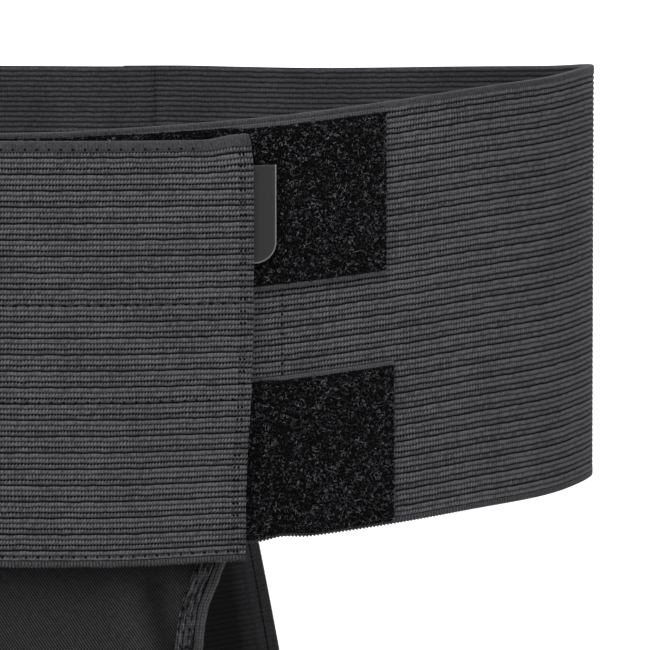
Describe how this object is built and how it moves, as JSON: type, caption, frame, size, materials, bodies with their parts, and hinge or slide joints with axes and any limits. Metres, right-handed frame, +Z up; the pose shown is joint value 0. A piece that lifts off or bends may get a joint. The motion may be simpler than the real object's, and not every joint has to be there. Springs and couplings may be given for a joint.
{
  "type": "hernia belt",
  "caption": "Wide ribbed elastic waist belt with a hook-and-loop closing flap, a twill pouch with gathered edges and a ribbed rear panel.",
  "frame": {"origin": "middle of the waist opening, level with the middle of the flap's height", "axes": "+X to the viewer's right seen from the front, -Y out of the front, +Z up along the wearer's body"},
  "size_m": [0.3314, 0.2301, 0.3293],
  "materials": {
    "webbing": "matt ribbed elastic knit",
    "loop_pile": "matt looped pile",
    "hook_tape": "matt tape with fine stiff hooks",
    "satin": "smooth satin weave with a soft sheen",
    "twill": "matt twill weave",
    "binding": "gathered knitted elastic"
  },
  "bodies": {
    "root": {"belt_right": "webbing", "belt_left": "webbing", "rear_panel": "webbing", "loop_patch_upper": "loop_pile", "loop_patch_lower": "loop_pile", "hook_tape_upper": "hook_tape", "hook_tape_lower": "hook_tape", "side_label": "satin", "pouch": "twill", "binding_right": "binding", "binding_left": "binding"}
  },
  "joints": []
}
